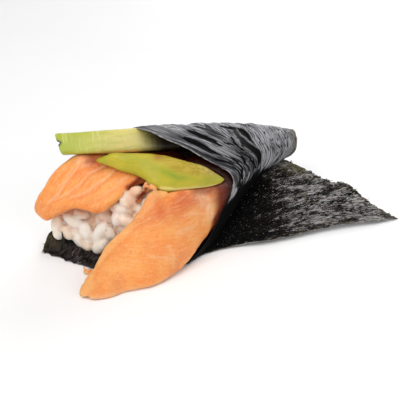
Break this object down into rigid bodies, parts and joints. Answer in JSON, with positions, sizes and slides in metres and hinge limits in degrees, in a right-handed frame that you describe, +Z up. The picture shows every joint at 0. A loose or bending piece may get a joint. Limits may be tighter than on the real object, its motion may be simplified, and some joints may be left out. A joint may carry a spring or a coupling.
{
  "type": "salmon temaki hand roll",
  "caption": "Hand roll: a nori sheet rolled into a cone round sushi rice, with salmon slices, avocado and cucumber at its open end; the sheet's loose corner lies free",
  "frame": {"origin": "on the table under the middle of the bounding box", "axes": "+X towards the sheet's loose corner, +Y towards the roll's closed end at the back, +Z up; the filling hangs out towards -X and -Y"},
  "size_m": [0.123, 0.0906, 0.0401],
  "materials": {
    "nori": "dry roasted seaweed, shiny outside and rough inside",
    "rice": "moist cooked rice",
    "salmon": "moist raw fish",
    "avocado": "moist ripe flesh",
    "cucumber": "wet cut flesh with dark skin at the back"
  },
  "bodies": {
    "root": {"nori_sheet": "nori", "rice_filling": "rice", "salmon_slice_left": "salmon", "salmon_slice_front": "salmon", "avocado_slice": "avocado", "cucumber_stick": "cucumber"}
  },
  "joints": []
}
